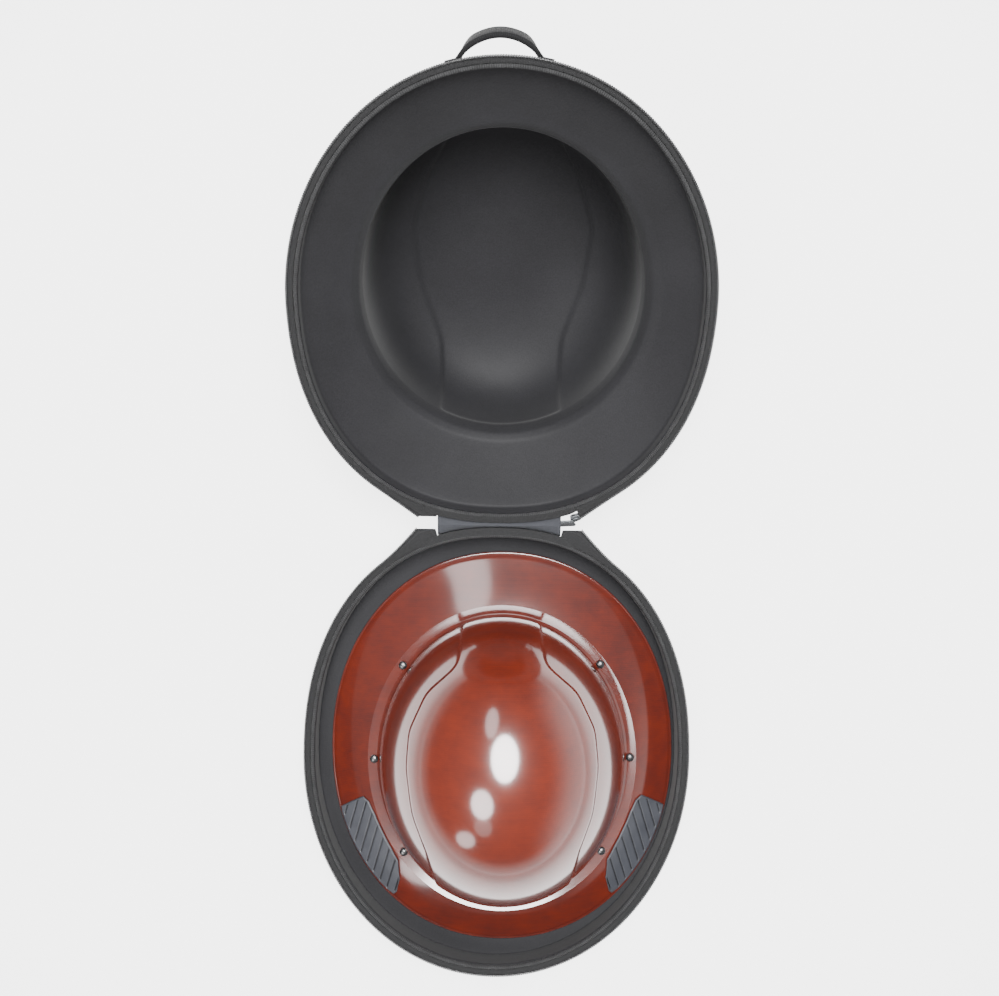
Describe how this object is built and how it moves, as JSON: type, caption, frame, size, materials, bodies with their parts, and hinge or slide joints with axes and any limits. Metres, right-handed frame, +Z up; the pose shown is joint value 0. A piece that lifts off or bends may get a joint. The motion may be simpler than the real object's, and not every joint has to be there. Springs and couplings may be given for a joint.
{
  "type": "hard hat case with a hard hat",
  "caption": "Oval moulded foam carrying case lying open on its cloth hinge, with a full-brim hard hat in its base.",
  "frame": {"origin": "on the floor, in the flat underside of the case's base, below the widest line of the case", "axes": "+Z up, +Y from the base towards the hinge and the opened lid, +X to the right seen from the front end"},
  "size_m": [0.3174, 0.7051, 0.2448],
  "materials": {
    "foam": "matte cloth-faced moulded foam",
    "binding": "ribbed grosgrain binding",
    "zip": "woven zip tape with a nylon coil",
    "hinge_cloth": "smooth plain-woven cloth",
    "webbing": "woven webbing",
    "slider": "dark satin metal",
    "hat": "clear-coated glossy reddish brown",
    "grip": "matte ribbed rubber",
    "rivet": "black satin"
  },
  "bodies": {
    "base": {"base_shell": "foam", "base_binding": "binding", "base_zip": "zip", "hinge_leaf_base": "hinge_cloth", "hat_shell": "hat", "hat_grip_left": "grip", "hat_grip_right": "grip", "hat_rivet_1": "rivet", "hat_rivet_2": "rivet", "hat_rivet_3": "rivet", "hat_rivet_4": "rivet", "hat_rivet_5": "rivet", "hat_rivet_6": "rivet"},
    "lid": {"lid_shell": "foam", "lid_binding": "binding", "lid_zip": "zip", "hinge_leaf_lid": "hinge_cloth", "handle": "webbing", "zip_slider": "slider", "zip_pull": "slider"}
  },
  "joints": [
    {"name": "lid_hinge", "type": "hinge", "parent": "base", "child": "lid", "pos_m": [0, 0.1871, 0.043], "axis": [1, 0, 0], "range_deg": [0, 146.91]}
  ]
}
